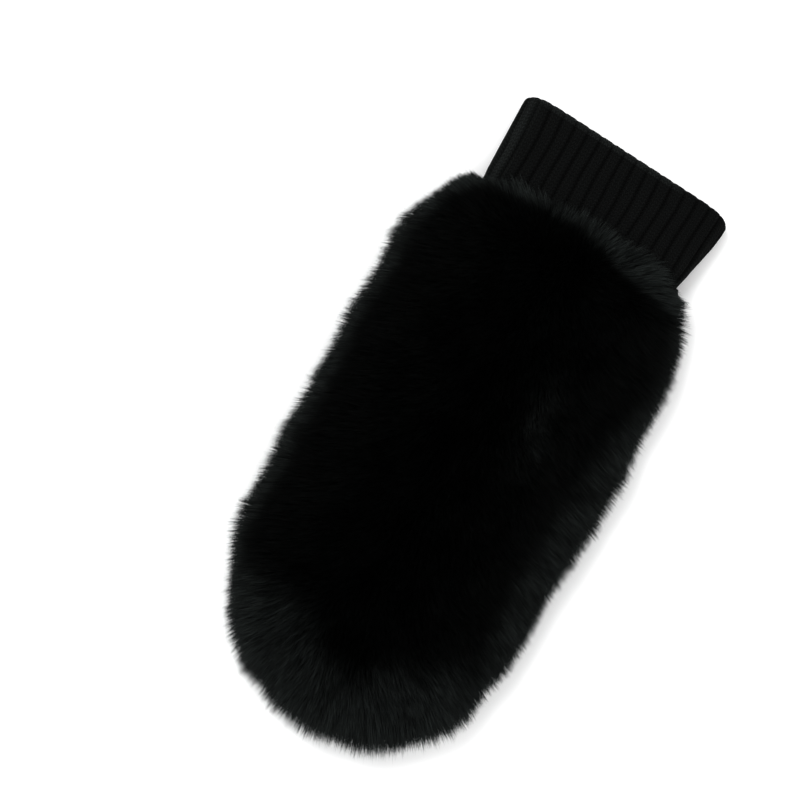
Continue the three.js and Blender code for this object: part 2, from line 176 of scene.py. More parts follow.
FELT_AT_COLLAR = 0.45
FELT_FROM_RIM = (-0.05, 0.16)
SEAM_ZONE = 8  # the last stretch before the seam

# Where the hair ends lie, so that the outline and the fringe over the cuff are the real ones
UPRIGHT_Z = (10.0, 30.0)
EDGE_REACH = {  # the finest hair ends pass the solid's locks by this at the sides
    "y": [-120, -110, -100, -80, -60, -40, -20, 60, 80, 95],
    "left": [1.6, 1, 0.2, 3, 4, 4, 4, 4, 3.5, 1.2],
    "right": [1.6, 2.6, 3, 0.8, 3, 2.5, 3.8, 4, 1.5, -2],
}
COLLAR_LINE = {  # the collar's edge, further over the cuff or less far
    "x": [-54, -44, -34, -20, 0, 12, 30, 42, 52],
    "further": [-5, -3, -3, 1, 0, -2, -3, -3.5, -6],
}
COLLAR_EDGE = 9.0  # the last hairs before the seam, which make that edge
COLLAR_FALL = 0.22  # they lie this much lower
COLLAR_LINE_FROM_RIM = (0.05, 0.2)
FINGERTIP_LEAN = 2.0
FINGERTIP_LEAN_Y = (-60, -100)
OUTWARD_LEAN = 1.2
OUTWARD_LEAN_OUT = (30, 55)

# The hair ends' own tone, and the painted sheen on them where they would catch the light: along the edges,
# at the fingertips, over the collar and on a ridge. Single tufts and hairs are paler or darker than that.
FUR_PALENESS = 0.1
PALE_LEAST = 0.25
PALE_BY_TUFT = 0.65
PALE_BY_HAIR = 0.65
MOTTLING = {"fingertips": 0.08, "hand": 0.25, "y": (-80, -60)}
# Painted sheen in bands along the thumb side and the outer side, where hair ends would catch the light
THUMB_SHEEN_BAND = {"painted_sheen": 0.8, "from_out": 57, "full_out": 61.5}
OUTER_SHEEN_BAND = {"y": [-80, -55, -10, 30, 50, 90], "from_out": [50, 44, 43, 48, 54, 52]}
OUTER_SHEEN = 0.74
OUTER_SHEEN_WIDTH = 12
FINGERTIP_SHEEN_Y = (-76, -104)
FINGERTIP_SHEEN_OUTER = {"further": 8, "x": (30, 48)}  # they begin further up at the outer edge
FINGERTIP_SHEEN_DULLER = {"share": 0.87, "x": (10, 30)}
FINGERTIP_SHEEN_GAPS = {"x": [2, 3], "half_width": [24, 9], "length": [12, 8]}  # where the fingertips' painted sheen holds back and the dark fur reaches into it
COLLAR_SHEEN_FROM = {  # the line from which the collar's hair ends get painted sheen
    "x": [-62, -56, -50, -44, -20, 0, 8, 22, 52],
    "y": [75.5, 85, 93, 98, 100.5, 100.5, 99, 91.5, 87],
}
COLLAR_SHEEN_BORDER = 2.5  # half as wide as the border along that line
COLLAR_SHEEN_Y = (60, 75)
COLLAR_SHEEN = {"thumb_side": 0.85, "outer_side": 1.04, "x": (0, 20)}
# A painted highlight on a ridge of the back, where a parting in the hair would catch the light
RIDGE_HIGHLIGHT = {"painted_sheen": 0.62, "x": 24, "y": 18, "half_width": 8, "half_length": 20}
RIDGE_HIGHLIGHT_SLANT = {"share": 0.2, "from_y": 20}

# Smooth random fields over the mitten: how strong, how long across, and the seed
WAVES = {
    "rise": (0.9, 26, 1),
    "clumps": (0.7, 9, 2),
    "edge": (0.6, 13, 3),
    "sway_x": (1.4, 22, 4),
    "sway_y": (1.4, 22, 5),
    "mottling": (1, 11, 8),
    "felt": (0.06, 7, 9),
    "palm_wear": (1, 18, 21),
    "thumb_wear": (1, 16, 22),
}

# Where the knit is paler or darker: random wear on the palm and thumb, painted sheen along the cuff's mouth
# and its left fold, painted shade in the cuff's rib grooves
PALM_WEAR = 0.08
THUMB_WEAR = 0.2
MOUTH_SHEEN_Y = (CUFF_END_Y - 3.2, CUFF_END_Y - 1.8)
MOUTH_SHEEN_X = (32, 18)
FOLD_SHEEN = 0.8
FOLD_SHEEN_X = -45.5
# Painted shade: the cuff's rib grooves are coloured darker
GROOVE_SHADE = 0.25

# How black each stuff is
HAIR_LEVELS = ((0, 0.003), (0.3, 0.012), (1, 0.062))  # along the ramp, and the level there
FELT_LEVELS = ((0.3, 0.0006), (0.8, 0.0022))
KNIT_LEVELS = ((0.05, 0.35), (0.55, 1), (1, 2.2))  # these are shares of the knit's own level
HAND_KNIT_LEVEL = 0.0085
CUFF_KNIT_LEVEL = 0.0068

# Mesh repairs, in metres
SAME_PLACE = 2e-6
SLIVER = 1e-7

rng = np.random.default_rng(11)


def lerp(a, b, t):
    return a + (b - a) * t


def ease(start, end, t):
    s = np.clip((np.asarray(t, float) - start) / (end - start), 0, 1)
    return s * s * (3 - 2 * s)


def smooth_curve(points, samples):
    """A centripetal Catmull-Rom curve through points, sampled evenly in each span, as (samples, 2)."""
    p = np.asarray(points, float)
    p = np.vstack([2 * p[0] - p[1], p, 2 * p[-1] - p[-2]])
    t = np.linspace(0, len(p) - 3, samples)
    i = np.minimum(t.astype(int), len(p) - 4)
    w = (t - i)[:, None]
    p0, p1, p2, p3 = (p[i + k] for k in range(4))
    spans = ((p0, p1), (p1, p2), (p2, p3))
    d0, d1, d2 = (np.sqrt(np.linalg.norm(b - a, axis=1))[:, None] for a, b in spans)
    m1 = ((p1 - p0) / d0 - (p2 - p0) / (d0 + d1) + (p2 - p1) / d1) * d1
    m2 = ((p2 - p1) / d1 - (p3 - p1) / (d1 + d2) + (p3 - p2) / d2) * d1
    a = 2 * p1 - 2 * p2 + m1 + m2
    b = -3 * p1 + 3 * p2 - 2 * m1 - m2
    return a * w**3 + b * w**2 + m1 * w + p1


def by_length(curve, share):
    """Points of a sampled curve at shares of its length."""
    steps = np.linalg.norm(np.diff(curve, axis=0), axis=1)
    along = np.concatenate([[0], np.cumsum(steps)]) / steps.sum()
    return np.stack([np.interp(share, along, curve[:, k]) for k in range(curve.shape[1])], -1)


def section(table, share):
    """(out, up) of a half-section at shares of its length, from the rim at 0 to the spine at 1."""
    curve = smooth_curve(np.stack([table["out"], table["up"]], 1), 500)
    point = by_length(curve, share)
    return np.maximum(point[..., 0], 0), point[..., 1]


def edge_table(side):
    """The hide's edge from the cuff seam to the fingertips, and its outward direction, at 801 stations."""
    points = list(zip(HIDE_PLAN[side], HIDE_PLAN["y"]))
    other = HIDE_PLAN["left" if side == "right" else "right"]
    points += [TIP, (other[-1], HIDE_PLAN["y"][-1])]
    curve = smooth_curve(points, 1300)[: int(1300 * (len(points) - 2) / (len(points) - 1)) + 1]
    t = np.linspace(0, 1, 801)
    share = t + CROWDING * np.sin(2 * np.pi * (t - 0.5))
    edge = by_length(curve, share)
    run = by_length(curve, np.minimum(share + 0.006, 1)) - by_length(curve, np.maximum(share - 0.006, 0))
    run /= np.linalg.norm(run, axis=1)[:, None]
    sign = 1 if side == "left" else -1
    outward = np.stack([sign * run[:, 1], -sign * run[:, 0]], 1)
    return t, edge, outward


STATION, LEFT_EDGE, LEFT_OUT = edge_table("left")
_, RIGHT_EDGE, RIGHT_OUT = edge_table("right")
EDGES = np.stack([LEFT_EDGE, RIGHT_EDGE])
OUTWARDS = np.stack([LEFT_OUT, RIGHT_OUT])


def spine_points():
    y = (LEFT_EDGE[:, 1] + RIGHT_EDGE[:, 1]) / 2
    reach = SPINE_BENDS_Y - TIP[1]
    past = np.maximum(0, (SPINE_BENDS_Y - y) / reach)
    bent = SPINE_BENDS_Y - reach * (past - SPINE_TIP_SHARE * past * past)
    return np.stack([np.full(len(y), SPINE_X), np.where(y > SPINE_BENDS_Y, y, bent)], 1)


SPINE = spine_points()


def at_station(table, side, t):
    """Rows of a (2, stations, 2) table at stations t, for sides 0 left and 1 right."""
    x = np.asarray(t) * (len(STATION) - 1)
    i = np.minimum(x.astype(int), len(STATION) - 2)
    w = (x - i)[..., None]
    return table[side, i] * (1 - w) + table[side, i + 1] * w


def spine_at(t):
    return np.stack([np.interp(t, STATION, SPINE[:, k]) for k in range(2)], -1)


def lift(x, y, wider=0.0):
    from_tip = ease(LIFT_TIP_Y[0] - wider, LIFT_TIP_Y[1], y)
    from_cuff = ease(LIFT_CUFF_Y[0] + wider / 2, LIFT_CUFF_Y[1], y)
    return LIFT_FULL * ease(*LIFT_X, x) * from_tip * from_cuff


def fold_rise(x, y):
    rise = np.zeros(np.shape(x))
    for row in zip(*FOLDS.values()):
        fx, fy, half_width, half_length, height = row
        rise += height * np.exp(-(((x - fx) / half_width) ** 2) - ((y - fy) / half_length) ** 4)
    return rise


def body(side, t, out, up, sag=0.0):
    """A point of the body: out from the spine at station t, up from the floor, lifted by the thumb."""
    spine = spine_at(t)
    edge = at_station(EDGES, side, t)
    outward = at_station(OUTWARDS, side, t)
    within = np.minimum(out / HALF_WIDTH, 1)[..., None]
    beyond = np.maximum(out - HALF_WIDTH, 0)[..., None]
    xy = spine + (edge - spine) * within + outward * beyond
    x, y = xy[..., 0], xy[..., 1]
    height = lerp(1, CUFF_END_HEIGHT, ease(CUFF_END_FROM_Y, SEAM_Y, spine[..., 1]))
    high = ease(*HIDE_UP, up)
    upper = ease(PALM_EDGE_UP, BACK_UP, up)
    lifted = lift(x, y, BACK_LIFT_WIDER * upper) * lerp(1, BACK_LIFT_SHARE, upper) * (1 - sag)
    z = up * lerp(1, height, high) + lifted + fold_rise(x, y) * high
    return np.stack([x, y, z], -1)


def root_point(side, t, c):
    return body(side, t, *section(HAIR_ROOTS, c))


def tip_point(side, t, c):
    out, up = section(HAIR_TIPS, c)
    spine_y = spine_at(t)[..., 1]
    share = lerp(1, SHOULDER_SHARE, ease(SHOULDER_Y, SEAM_Y, spine_y))
    out = np.where(out > HALF_WIDTH, HALF_WIDTH + (out - HALF_WIDTH) * share, out)
    low = 1 - ease(*LOW_UP, up)
    point = body(side, t, out, up, SAG * low)
    corner = ease(*CORNERS_OUT, section(HAIR_TIPS, c)[0])
    overhang = OVERHANG * lerp(1, OVERHANG_AT_CORNERS, corner)
    point[..., 1] += overhang * ease(SEAM_Y - COLLAR_REACH, SEAM_Y, spine_y) * ease(*OVERHANG_FROM_RIM, c)
    return point


def waves(name, x, y, count=7):
    """One of the smooth random fields, from minus its strength to its strength."""
    strength, length, seed = WAVES[name]
    r = np.random.default_rng(seed)
    field = np.zeros(np.shape(x))
    for _ in range(count):
        angle, phase = r.uniform(0, 2 * np.pi, 2)
        k = 2 * np.pi / (length * r.uniform(0.7, 1.6))
        field += np.sin(k * (x * np.cos(angle) + y * np.sin(angle)) + phase)
    return strength * (field / np.sqrt(count * 0.5) / 1.8)


# Meshes
def cad_shift():
    """From the body's own sizes to the frame, whose origin is under the middle of the box."""
    low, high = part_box("thumb")
    return np.array([(low.x + high.x) / 2 / MM - THUMB_X, low.y / MM - THUMB["y"][-1], 0.0])


SHIFT = cad_shift()


def make_piece(name, points, triangles, node, material, smooth=True):
    mesh = bpy.data.meshes.new(name)
    points = (np.asarray(points) + SHIFT) * MM
    triangles = np.asarray(triangles, np.int32)
    mesh.vertices.add(len(points))
    mesh.vertices.foreach_set("co", points.astype(np.float32).ravel())
    mesh.loops.add(triangles.size)
    mesh.loops.foreach_set("vertex_index", triangles.ravel())
    mesh.polygons.add(len(triangles))
    mesh.polygons.foreach_set("loop_start", np.arange(0, triangles.size, 3, dtype=np.int32))
    mesh.polygons.foreach_set("use_smooth", np.full(len(triangles), smooth))
    mesh.update(calc_edges=True)
    mesh.materials.append(material)
    piece = bpy.data.objects.new(name, mesh)
    bpy.context.scene.collection.objects.link(piece)
    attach(piece, "root")
    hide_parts(node)
    return piece


def join_points(bm):
    bmesh.ops.remove_doubles(bm, verts=bm.verts, dist=SAME_PLACE)


def drop_slivers(bm):
    bmesh.ops.dissolve_degenerate(bm, edges=bm.edges, dist=SLIVER)


def turn_outwards(bm):
    bmesh.ops.recalc_face_normals(bm, faces=bm.faces)


def mend(piece, *repairs):
    bm = bmesh.new()
    bm.from_mesh(piece.data)
    for repair in repairs:
        repair(bm)
    bm.to_mesh(piece.data)
    bm.free()


def set_values(mesh, name, values):
    mesh.attributes.new(name, "FLOAT", "POINT").data.foreach_set("value", np.asarray(values, np.float32))


def set_map(mesh, name, places):
    """A UV map from one place for each point."""
    layer = mesh.uv_layers.new(name=name)
    corner = np.zeros(len(mesh.loops), np.int32)
    mesh.loops.foreach_get("vertex_index", corner)
    layer.data.foreach_set("uv", np.asarray(places, np.float32)[corner].ravel())


def grid_faces(rows, columns, start=0, flip=False):
    """Triangles over a (rows, columns) grid of points."""
    i = np.arange(rows * columns).reshape(rows, columns) + start
    a, b, c, d = i[:-1, :-1].ravel(), i[:-1, 1:].ravel(), i[1:, 1:].ravel(), i[1:, :-1].ravel()
    faces = np.concatenate([np.stack([a, b, c], 1), np.stack([a, c, d], 1)])
    return faces[:, ::-1] if flip else faces


def join_loops(a, b):
    """Triangles between two lines of point numbers that run side by side."""
    faces, i, j = [], 0, 0
    while i < len(a) - 1 or j < len(b) - 1:
        if j == len(b) - 1 or (i < len(a) - 1 and (i + 1) * (len(b) - 1) <= (j + 1) * (len(a) - 1)):
            faces.append((a[i], b[j], a[i + 1]))
            i += 1
        else:
            faces.append((a[i], b[j], b[j + 1]))
            j += 1
    return np.array(faces)


# Materials
def black(level):
    """A near black, which is a little cool."""
    return (level * 0.92, level * 1.06, level * 1.02)


class Nodes:
    """A material's node tree, with short ways to add maths nodes to it."""

    def __init__(self, name):
        self.material = bpy.data.materials.new(name)
        self.material.use_nodes = True
        self.tree = self.material.node_tree
        self.shader = self.tree.nodes["Principled BSDF"]

    def add(self, kind, **settings):
        node = self.tree.nodes.new(kind)
        for key, value in settings.items():
            setattr(node, key, value)
        return node

    def link(self, source, target):
        self.tree.links.new(source, target)

    def maths(self, operation, *inputs):
        node = self.add("ShaderNodeMath", operation=operation)
        for socket, value in zip(node.inputs, inputs):
            if isinstance(value, (int, float)):
                socket.default_value = value
            else:
                self.link(value, socket)
        return node.outputs[0]

    def attribute(self, name):
        return self.add("ShaderNodeAttribute", attribute_name=name).outputs["Fac"]

    def noise(self, scale, detail=2.0, vector=None):
        node = self.add("ShaderNodeTexNoise")
        node.inputs["Scale"].default_value = scale
        node.inputs["Detail"].default_value = detail
        if vector is None:
            vector = self.add("ShaderNodeTexCoord").outputs["Object"]
        self.link(vector, node.inputs["Vector"])
        return node.outputs["Fac"]

    def ramp(self, factor, *stops):
        """Blacks along a factor, from stops of a place and a level."""
        node = self.add("ShaderNodeValToRGB")
        for place, _ in stops[2:]:
            node.color_ramp.elements.new(place)
        for element, (place, level) in zip(node.color_ramp.elements, stops):
            element.position = place
            element.color = (*black(level), 1)
        self.link(factor, node.inputs["Fac"])
        return node.outputs["Color"]

    def bump(self, height, distance, strength=1.0, normal=None):
        node = self.add("ShaderNodeBump")
        node.inputs["Strength"].default_value = strength
        node.inputs["Distance"].default_value = distance * MM
        self.link(height, node.inputs["Height"])
        if normal is not None:
            self.link(normal, node.inputs["Normal"])
        return node.outputs["Normal"]


def hair_material():
    """Black hair, paler towards the tip of each strand, as far as the strand's own tone and its painted
    sheen make it pale.
    """
    n = Nodes("fur_hair")
    along = n.attribute("hair_along")
    tone_and_sheen = n.attribute("hair_tone_and_sheen")
    level = n.maths("MULTIPLY", n.maths("POWER", along, 1.4), tone_and_sheen)
    n.link(n.ramp(level, *HAIR_LEVELS), n.shader.inputs["Base Color"])
    n.shader.inputs["Roughness"].default_value = 0.55
    n.shader.inputs["Specular IOR Level"].default_value = 0.08
    return n.material


def felt_material():
    """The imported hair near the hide, which hardly any light reaches."""
    n = Nodes("fur_felt")
    clumps = n.noise(700, 3)
    n.link(n.ramp(clumps, *FELT_LEVELS), n.shader.inputs["Base Color"])
    n.shader.inputs["Roughness"].default_value = 0.95
    n.shader.inputs["Specular IOR Level"].default_value = 0.1
    n.link(n.bump(clumps, 0.8), n.shader.inputs["Normal"])
    return n.material


def knit_material(name, level, stitch_bump):
    """Soft black knit: rows of V stitches along the wales, with fine wool fuzz over them."""
    n = Nodes(name)
    split = n.add("ShaderNodeSeparateXYZ")
    n.link(n.add("ShaderNodeUVMap", uv_map="stitches").outputs["UV"], split.inputs[0])
    wale, course = split.outputs[0], split.outputs[1]
    across = n.maths("MULTIPLY", n.maths("ABSOLUTE", n.maths("SUBTRACT", n.maths("FRACT", wale), 0.5)), 2.0)
    wander = n.maths("MULTIPLY", n.noise(260, 2), 0.5)
    leg = n.maths("FRACT", n.maths("ADD", n.maths("MULTIPLY_ADD", across, 0.75, course), wander))
    yarn = n.maths("SINE", n.maths("MULTIPLY", leg, math.pi))
    shoulder = n.maths("SUBTRACT", 1.0, n.maths("POWER", across, 5.0))
    middle = n.maths("POWER", n.maths("SUBTRACT", 1.0, across), 6.0)
    middle = n.maths("SUBTRACT", 1.0, n.maths("MULTIPLY", middle, 0.5))
    stitch = n.maths("MULTIPLY", n.maths("MULTIPLY", yarn, shoulder), middle)
    fuzz = n.noise(3800, 4)
    patches = n.noise(90, 3)
    shade = n.maths("MULTIPLY_ADD", stitch, 0.55, n.maths("MULTIPLY", fuzz, 0.45))
    shade = n.maths("MULTIPLY", shade, n.maths("MULTIPLY_ADD", patches, 0.5, 0.75))
    stops = [(place, level * share) for place, share in KNIT_LEVELS]
    # The stitch colour is scaled by the wear values: random wear on the palm and thumb, and on the cuff
    # painted sheen at its mouth and left fold and painted shade in its grooves
    with_wear_and_light = n.add("ShaderNodeVectorMath", operation="SCALE")
    n.link(n.ramp(shade, *stops), with_wear_and_light.inputs[0])
    n.link(n.maths("MULTIPLY_ADD", n.attribute("wear_and_painted_light"), 2.0, 1.0), with_wear_and_light.inputs["Scale"])
    n.link(with_wear_and_light.outputs[0], n.shader.inputs["Base Color"])
    n.shader.inputs["Roughness"].default_value = 0.92
    n.shader.inputs["Specular IOR Level"].default_value = 0.12
    n.shader.inputs["Sheen Weight"].default_value = 0.03
    n.shader.inputs["Sheen Roughness"].default_value = 0.5
    n.shader.inputs["Sheen Tint"].default_value = (0.5, 0.5, 0.5, 1)
    rough = n.bump(fuzz, 0.35)
    n.link(n.bump(stitch, stitch_bump, normal=rough), n.shader.inputs["Normal"])
    return n.material


# Fur
def surface_samples(count):
    """Random places on the fur, evenly spread over it: side, station, column."""
    stations, columns = 160, 56
    t = np.linspace(0, 1, stations + 1)
    c = np.linspace(0, 1, columns + 1)
    cells = []
    for side in (0, 1):
        tt, cc = np.meshgrid(t, c, indexing="ij")
        p = lerp(root_point(side, tt, cc), tip_point(side, tt, cc), 0.6)
        across, along = p[:-1, 1:] - p[:-1, :-1], p[1:, :-1] - p[:-1, :-1]
        cells.append(np.linalg.norm(np.cross(across, along), axis=-1).ravel())
    weight = np.concatenate(cells)
    cell = rng.choice(len(weight), count, p=weight / weight.sum())
    side, cell = cell // (stations * columns), cell % (stations * columns)
    t = (cell // columns + rng.random(count)) / stations
    c = (cell % columns + rng.random(count)) / columns
    return side, t, c


def hair_line(side, t, c):
    """Each hair's root, bend and tip."""
    root = root_point(side, t, c)
    tip = tip_point(side, t, c)
    x, y = tip[:, 0], tip[:, 1]
    out = section(HAIR_TIPS, c)[0]
    upright = ease(*UPRIGHT_Z, tip[:, 2])
    end = ease(SEAM_Y - COLLAR_REACH, SEAM_Y, spine_at(t)[:, 1])
    rise = waves("rise", x, y) + waves("clumps", x, y)
    left, right = (np.interp(y, EDGE_REACH["y"], EDGE_REACH[edge]) for edge in ("left", "right"))
    reach = np.where(side == 0, left, right)
    further = rise * upright + (reach + waves("edge", x, y)) * (1 - upright)
    way = tip - root
    tip = tip + way * (further / np.linalg.norm(way, axis=1))[:, None]
    last = ease(SEAM_Y - COLLAR_EDGE, SEAM_Y, spine_at(t)[:, 1])
    over_cuff = np.interp(x, COLLAR_LINE["x"], COLLAR_LINE["further"])
    tip[:, 1] += last * over_cuff * ease(*COLLAR_LINE_FROM_RIM, c)
    tip[:, 2] *= 1 - COLLAR_FALL * last * upright
    lean = np.zeros_like(tip)
    lean[:, 1] = -LEAN * (1 - LEAN_BACK * end)
    lean[:, 0] = FINGERTIP_LEAN * ease(*FINGERTIP_LEAN_Y, y)
    outwards = OUTWARD_LEAN * ease(*OUTWARD_LEAN_OUT, out)
    lean[:, :2] += at_station(OUTWARDS, side, t) * outwards[:, None]
    lean[:, 0] += waves("sway_x", x, y)
    lean[:, 1] += waves("sway_y", x, y)
    lean *= ease(*LOW_UP, tip[:, 2])[:, None]
    bend = lerp(root, tip, BEND_AT) + BEND_LEAN * lean
    return root, bend, tip + lean


def painted_sheen(side, c, x, y):
    """Painted sheen on the hair ends, where they would catch the light: along the edges, at the fingertips,
    in the collar and on a ridge.
    """
    out = section(HAIR_TIPS, c)[0]
    thumb_band = THUMB_SHEEN_BAND["painted_sheen"] * ease(THUMB_SHEEN_BAND["from_out"], THUMB_SHEEN_BAND["full_out"], out)
    outer_from = np.interp(y, OUTER_SHEEN_BAND["y"], OUTER_SHEEN_BAND["from_out"])
    outer_band = OUTER_SHEEN * ease(outer_from, outer_from + OUTER_SHEEN_WIDTH, out)
    band = np.where(side == 0, thumb_band, outer_band)
    tongue = 0
    for middle, half_width, length in zip(*FINGERTIP_SHEEN_GAPS.values()):
        tongue = tongue + length * np.exp(-(((x - middle) / half_width) ** 2))
    outer = FINGERTIP_SHEEN_OUTER["further"] * ease(*FINGERTIP_SHEEN_OUTER["x"], x)
    fingertips = ease(*FINGERTIP_SHEEN_Y, y + tongue - outer)
    fingertips *= lerp(1, FINGERTIP_SHEEN_DULLER["share"], ease(*FINGERTIP_SHEEN_DULLER["x"], x))
    past_line = y - np.interp(x, COLLAR_SHEEN_FROM["x"], COLLAR_SHEEN_FROM["y"])
    collar = ease(-COLLAR_SHEEN_BORDER, COLLAR_SHEEN_BORDER, past_line) * ease(*COLLAR_SHEEN_Y, y)
    across = ease(*COLLAR_SHEEN["x"], x)
    collar *= lerp(COLLAR_SHEEN["thumb_side"], COLLAR_SHEEN["outer_side"], across)
    slant = RIDGE_HIGHLIGHT_SLANT["share"] * (y - RIDGE_HIGHLIGHT_SLANT["from_y"])
    beside = (x - RIDGE_HIGHLIGHT["x"] + slant) / RIDGE_HIGHLIGHT["half_width"]
    ridge = RIDGE_HIGHLIGHT["painted_sheen"] * np.exp(-(beside**2) - ((y - RIDGE_HIGHLIGHT["y"]) / RIDGE_HIGHLIGHT["half_length"]) ** 2)
    return np.maximum.reduce([band, fingertips, collar, ridge])


def gather_tufts(points, tips):
    """Draws neighbouring tips together into small tufts, each a little longer or shorter."""
    side, t, c = surface_samples(TUFTS)
    root, _, centres = hair_line(side, t, c)
    way = centres - root
    way /= np.linalg.norm(way, axis=1)[:, None]
    own = np.random.default_rng(5)
    longer = TUFT_SCATTER * (own.random(TUFTS) - 0.5)
    shoulder = (side == 1) * ease(*SHOULDER_TUFTS_Y, centres[:, 1]) * ease(*SHOULDER_TUFTS_UP, c)
    longer += SHOULDER_TUFTS * shoulder * own.random(TUFTS) ** 2
    tree = kdtree.KDTree(len(centres))
    for i, p in enumerate(centres):
        tree.insert(p, i)
    tree.balance()
    nearest = np.array([tree.find(p)[1] for p in points])
    pull = TUFT_PULL * own.uniform(LOOSEST_TUFT, 1, TUFTS)
    gathered = tips + (centres[nearest] - tips) * pull[nearest, None]
    return gathered + (way * longer[:, None])[nearest], own.random(TUFTS)[nearest]


def strand_mesh(root, bend, tip, width, bend_along):
    """Flat tapering strands, turned at random: their points, faces, places along and places across."""
    count = len(root)
    way = tip - root
    way /= np.linalg.norm(way, axis=1)[:, None] + 1e-9
    across = np.cross(way, rng.normal(size=(count, 3)))
    across *= (width / (np.linalg.norm(across, axis=1) + 1e-9))[:, None]
    if bend is None:
        points = [root - across, root + across, tip]
        faces = [(0, 1, 2)]
        beside = [-1, 1, 0]
    else:
        at_bend = BEND_WIDTH * across
        points = [root - across, root + across, bend - at_bend, bend + at_bend, tip]
        faces = [(0, 1, 3), (0, 3, 2), (2, 3, 4)]
        beside = [-1, 1, -1, 1, 0]
    along = np.zeros((count, len(points)))
    along[:, 2:-1] = bend_along[:, None]
    along[:, -1] = 1
    faces = np.arange(count)[:, None, None] * len(points) + np.array(faces)[None]
    points = np.stack(points, 1).reshape(-1, 3)
    return points, faces.reshape(-1, 3), along.reshape(-1), np.tile(beside, count)


FUR_PIECES = [
    "fur_wrist",
    "fur_thumb_side",
    "fur_outer_side",
    "fur_knuckles",
    "fur_middle",
    "fur_fingertips",
]


def fur_zone(side, t, c):
    """Which piece a hair belongs to."""
    zone = np.where(side == 0, 1, 2)
    zone = np.where(c > 0.6, np.where(t < 0.42, 3, 4), zone)
    zone = np.where(t > 0.7, 5, zone)
    return np.where(t < 0.15, 0, zone)


def make_strands(count, width, length, bent):
    """One kind of hair over the whole fur. For each piece: points, faces, places along, tone with painted
    sheen, map.
    """
    side, t, c = surface_samples(count)
    root, bend, tip = hair_line(side, t, c)
    tip, tuft = gather_tufts(tip, tip)
    share = length * (1 - SHORTEST * rng.random(count) ** 2)
    tip = root + (tip - root) * share[:, None]
    bend = root + (bend - root) * share[:, None] + rng.normal(scale=BEND_SCATTER, size=(count, 3))
    stray = lerp(STRAY["hand"], STRAY["fingertips"], ease(*STRAY["y"], tip[:, 1]))
    stray *= lerp(STRAY_AT_FLOOR, 1, ease(1, 6, tip[:, 2]))
    tip += rng.normal(size=(count, 3)) * stray[:, None] * STRAY_AXES
    tip[:, 2] = np.maximum(tip[:, 2], LEAST_Z["tip"])
    bend[:, 2] = np.maximum(bend[:, 2], LEAST_Z["bend"])
    # The fur's own tone plus painted sheen on the hair ends, then scattered at random by tuft and hair
    tone_and_sheen = FUR_PALENESS + painted_sheen(side, c, tip[:, 0], tip[:, 1])
    tone_and_sheen *= PALE_LEAST + PALE_BY_TUFT * tuft + PALE_BY_HAIR * rng.random(count) ** 2
    mottling = waves("mottling", tip[:, 0] + tip[:, 2], tip[:, 1] + 0.8 * tip[:, 2])
    uneven = lerp(MOTTLING["fingertips"], MOTTLING["hand"], ease(*MOTTLING["y"], tip[:, 1]))
    tone_and_sheen *= 1 + uneven * mottling
    tone_and_sheen = np.clip(tone_and_sheen, 0, 1) * (1 if bent else UNDER_PALENESS)
    # Near the seam the hairs are paler from the bend on: painted sheen over the collar's overhang
    bend_along = BEND_AT + 0.3 * ease(SEAM_Y - SEAM_ZONE, SEAM_Y + 3, tip[:, 1])
    zone = fur_zone(side, t, c)
    size = width * rng.uniform(*WIDTHS, count)
    chunks = []
    for k in range(len(FUR_PIECES)):
        m = zone == k
        bends = bend[m] if bent else None
        points, faces, along, beside = strand_mesh(root[m], bends, tip[m], size[m], bend_along[m])
        strand_tone_and_sheen = np.repeat(tone_and_sheen[m], len(points) // max(1, m.sum()))
        chunks.append((points, faces, along, strand_tone_and_sheen, strand_tone_and_sheen + 0.003 * beside))
    return chunks


def make_fur(material):
    guard = make_strands(GUARD_HAIRS, GUARD_WIDTH, GUARD_LENGTH, True)
    under = make_strands(UNDER_HAIRS, UNDER_WIDTH, UNDER_LENGTH, False)
    for name, long_hair, short_hair in zip(FUR_PIECES, guard, under):
        points = np.concatenate([long_hair[0], short_hair[0]])
        faces = np.concatenate([long_hair[1], short_hair[1] + len(long_hair[0])])
        along, tone_and_sheen, across = (np.concatenate([long_hair[i], short_hair[i]]) for i in (2, 3, 4))
        piece = make_piece(name, points, faces, "fur_back", material)
        set_values(piece.data, "hair_along", along)
        set_values(piece.data, "hair_tone_and_sheen", tone_and_sheen)
        set_map(piece.data, "OFBake", np.stack([0.01 + 0.98 * across, along], 1))
        print(name, len(faces))


